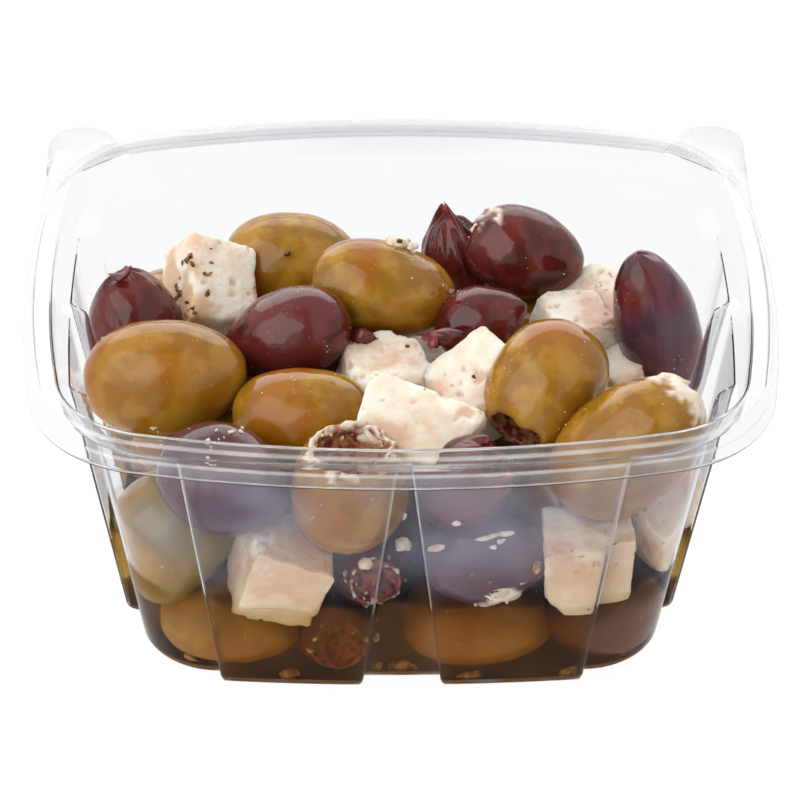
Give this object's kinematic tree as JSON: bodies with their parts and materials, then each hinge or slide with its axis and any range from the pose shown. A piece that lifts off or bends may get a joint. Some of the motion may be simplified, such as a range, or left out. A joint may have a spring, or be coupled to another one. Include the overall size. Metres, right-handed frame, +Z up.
{
  "type": "open clear tub of olives and feta in brine",
  "caption": "Open clear plastic deli tub with panelled walls, filled with green and dark olives and white cheese cubes standing in amber brine.",
  "frame": {"origin": "middle of the tub's flat base, on the surface it stands on", "axes": "+Z up, -Y out of the front long side, +Y towards the corners with finger tabs, +X to the right seen from the front"},
  "size_m": [0.136, 0.1169, 0.062],
  "materials": {
    "clear_plastic": "clear, thin and glossy, with faint haze in the mouldings",
    "brine": "clear amber brown liquid, darker where deep",
    "olives": "wet, glossy olive skins in green and dark purple, with dull crumbly white cheese"
  },
  "bodies": {
    "root": {"tub": "clear_plastic", "brine": "brine", "olive_heap": "olives"}
  },
  "joints": []
}
